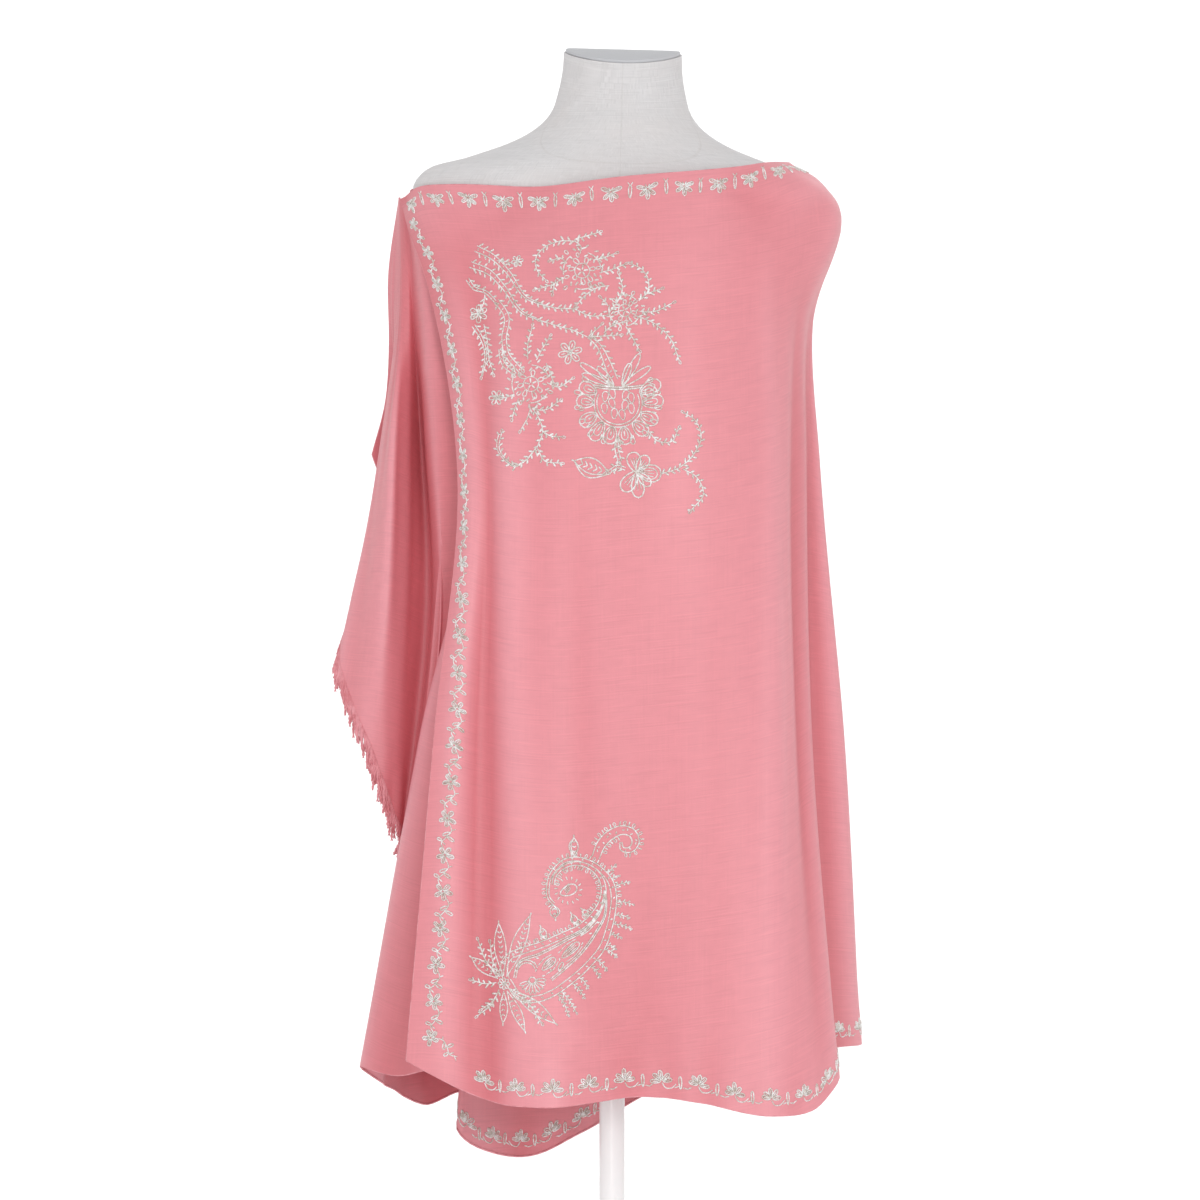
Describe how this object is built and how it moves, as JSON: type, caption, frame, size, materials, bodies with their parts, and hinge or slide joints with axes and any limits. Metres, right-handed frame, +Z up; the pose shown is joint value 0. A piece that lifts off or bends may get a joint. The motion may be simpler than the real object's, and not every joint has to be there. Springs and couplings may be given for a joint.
{
  "type": "pashmina shawl on dress form",
  "caption": "Rectangular embroidered wool shawl wrapped round a limbless dress form on a pole and round base, far end hanging in folds at one shoulder.",
  "frame": {"origin": "on the floor under the base plate, on the pole's axis", "axes": "+Z up, the front of the dress form faces -Y, +X to the viewer's right"},
  "size_m": [0.5025, 0.36, 1.5223],
  "materials": {
    "shawl_cloth": "soft matte wool with a light sheen",
    "fringe_thread": "loose twisted wool thread",
    "form_cover": "tight pale linen over padding",
    "cap_board": "matte",
    "white_enamel": "smooth white enamel"
  },
  "bodies": {
    "root": {"front_panel": "shawl_cloth", "right_side": "shawl_cloth", "back_panel": "shawl_cloth", "left_fold": "shawl_cloth", "fringed_end": "shawl_cloth", "fringe": "fringe_thread", "form_torso": "form_cover", "neck_cap": "cap_board", "socket": "white_enamel", "pole": "white_enamel", "base": "white_enamel"}
  },
  "joints": []
}
